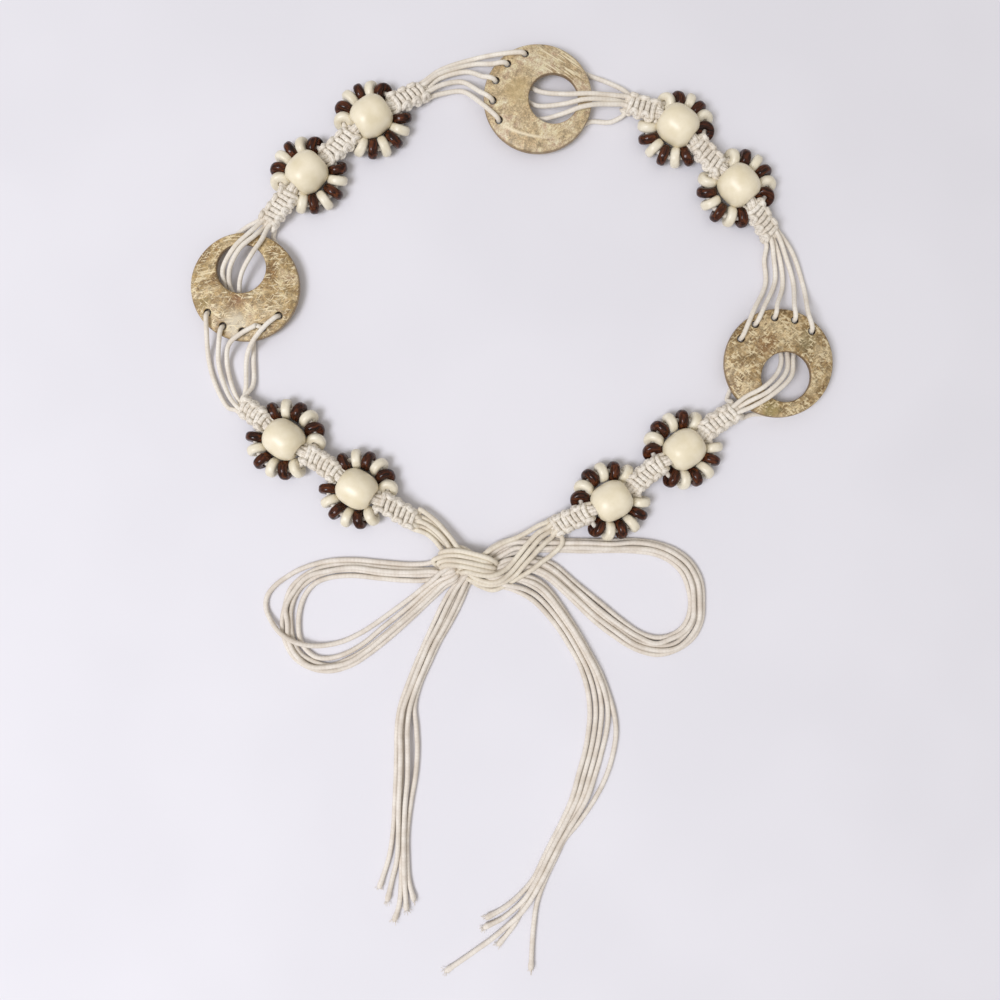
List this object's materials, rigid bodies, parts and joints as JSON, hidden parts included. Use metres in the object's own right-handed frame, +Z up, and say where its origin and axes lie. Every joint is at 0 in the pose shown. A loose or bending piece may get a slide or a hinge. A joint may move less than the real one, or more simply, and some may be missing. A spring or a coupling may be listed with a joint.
{
  "type": "coconut shell belt",
  "caption": "Tied waist belt of coconut shell rings, beaded flowers and square-knotted cotton cord, lying with its ends in a bow.",
  "frame": {"origin": "on the surface that the belt lies on, under the middle of the belt's box without the bow's loops and tails", "axes": "+Z up from the surface, +Y across the waist opening away from the bow, +X to the right across the belt's widest part"},
  "size_m": [0.2977, 0.4316, 0.018],
  "materials": {
    "coconut_shell": "polished coconut shell, tan brown with pale flecks and fibre streaks, satin",
    "cream_bead": "ivory painted wood, satin",
    "dark_bead": "reddish dark brown stained wood, glossy; every other small bead is ivory",
    "cotton_cord": "off-white braided waxed cotton, matt"
  },
  "bodies": {
    "root": {"shell_ring_left": "coconut_shell", "shell_ring_top": "coconut_shell", "shell_ring_right": "coconut_shell", "ring_cords_left": "cotton_cord", "ring_cords_top": "cotton_cord", "ring_cords_right": "cotton_cord", "round_bead_1": "cream_bead", "round_bead_2": "cream_bead", "round_bead_3": "cream_bead", "round_bead_4": "cream_bead", "round_bead_5": "cream_bead", "round_bead_6": "cream_bead", "round_bead_7": "cream_bead", "round_bead_8": "cream_bead", "bead_wreath_1_outer": "dark_bead", "bead_wreath_1_inner": "dark_bead", "bead_wreath_2_outer": "dark_bead", "bead_wreath_2_inner": "dark_bead", "bead_wreath_3_outer": "dark_bead", "bead_wreath_3_inner": "dark_bead", "bead_wreath_4_outer": "dark_bead", "bead_wreath_4_inner": "dark_bead", "bead_wreath_5_outer": "dark_bead", "bead_wreath_5_inner": "dark_bead", "bead_wreath_6_outer": "dark_bead", "bead_wreath_6_inner": "dark_bead", "bead_wreath_7_outer": "dark_bead", "bead_wreath_7_inner": "dark_bead", "bead_wreath_8_outer": "dark_bead", "bead_wreath_8_inner": "dark_bead", "knot_bar_1": "cotton_cord", "knot_bar_2": "cotton_cord", "knot_bar_3": "cotton_cord", "knot_bar_4": "cotton_cord", "knot_bar_5": "cotton_cord", "knot_bar_6": "cotton_cord", "knot_bar_7": "cotton_cord", "knot_bar_8": "cotton_cord", "knot_bar_9": "cotton_cord", "knot_bar_10": "cotton_cord", "knot_bar_11": "cotton_cord", "knot_bar_12": "cotton_cord", "bow_knot": "cotton_cord", "tie_lead_left": "cotton_cord", "tie_lead_right": "cotton_cord", "tie_loop_left": "cotton_cord", "tie_loop_right": "cotton_cord", "tie_tail_left": "cotton_cord", "tie_tail_right": "cotton_cord"}
  },
  "joints": []
}
